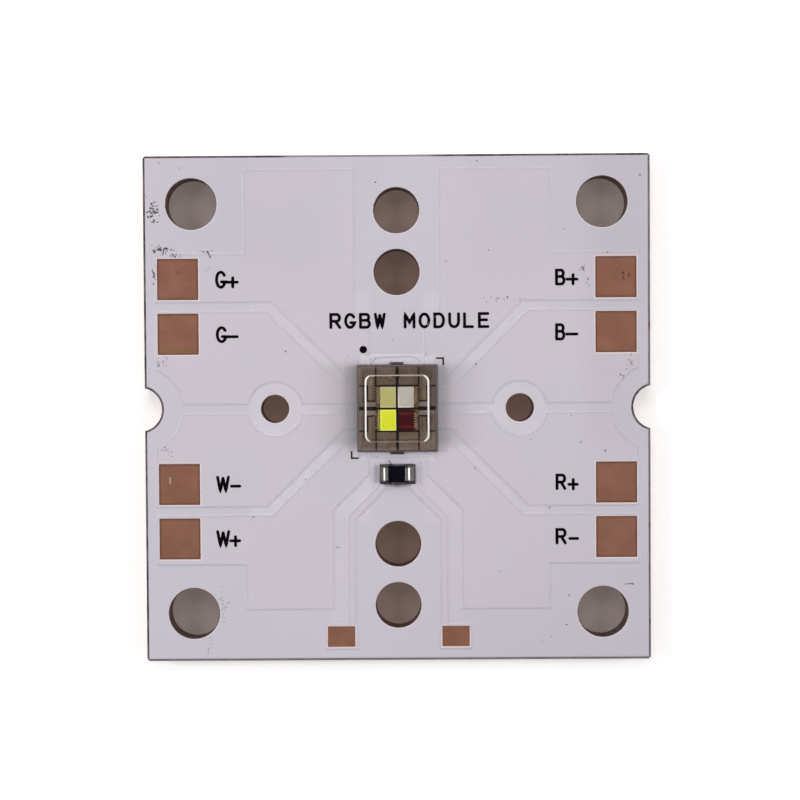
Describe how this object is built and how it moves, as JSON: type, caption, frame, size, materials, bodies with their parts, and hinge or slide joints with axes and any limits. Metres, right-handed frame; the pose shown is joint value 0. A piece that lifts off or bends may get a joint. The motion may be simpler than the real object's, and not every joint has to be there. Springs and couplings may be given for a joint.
{
  "type": "rgbw led chip on copper-core board",
  "caption": "Square copper-core circuit board with a four-colour LED chip under a clear window, solder pads and screw holes.",
  "frame": {"origin": "middle of the board's flat copper back, halfway between the four corner holes", "axes": "+Z out of the face that gives light; +X from the green and white pads towards the blue and red pads, through the two edge notches; +Y from the temperature sensor towards the pin 1 dot"},
  "size_m": [0.037, 0.037, 0.0029],
  "materials": {
    "copper_plate": "bare copper, brown, routed edges",
    "insulation": "dark filled resin",
    "track_copper": "bare brown copper with a matt coat",
    "white_mask": "white solder mask, satin",
    "black_ink": "printed ink",
    "led_ceramic": "grey-brown ceramic",
    "led_plating": "dull brown-grey plating",
    "gold_contacts": "gold plating",
    "solder": "solder, grey",
    "green_crystal": "pale olive die",
    "blue_crystal": "pale grey die",
    "red_crystal": "dark red die",
    "yellow_phosphor": "yellow phosphor plate",
    "bond_gold": "drawn gold wire",
    "clear_silicone": "clear moulded silicone",
    "sensor_ceramic": "black glazed chip",
    "sensor_tin": "tin plating, bright"
  },
  "bodies": {
    "root": {"copper_base": "copper_plate", "dielectric_layer": "insulation", "foil_green_plus": "track_copper", "foil_green_minus": "track_copper", "foil_white_minus": "track_copper", "foil_white_plus": "track_copper", "foil_blue_plus": "track_copper", "foil_blue_minus": "track_copper", "foil_red_plus": "track_copper", "foil_red_minus": "track_copper", "foil_sensor_left": "track_copper", "foil_sensor_right": "track_copper", "solder_mask": "white_mask", "printed_marks": "black_ink", "led_solder": "solder", "led_bottom_metal": "gold_contacts", "led_vias": "gold_contacts", "led_substrate": "led_ceramic", "led_top_metal": "led_plating", "green_die": "green_crystal", "blue_die": "blue_crystal", "white_die": "blue_crystal", "red_die": "red_crystal", "phosphor_plate": "yellow_phosphor", "green_wires": "bond_gold", "blue_wires": "bond_gold", "white_wires": "bond_gold", "red_wires": "bond_gold", "led_cover": "clear_silicone", "sensor_body": "sensor_ceramic", "sensor_cap_left": "sensor_tin", "sensor_cap_right": "sensor_tin", "sensor_solder_left": "solder", "sensor_solder_right": "solder"}
  },
  "joints": []
}
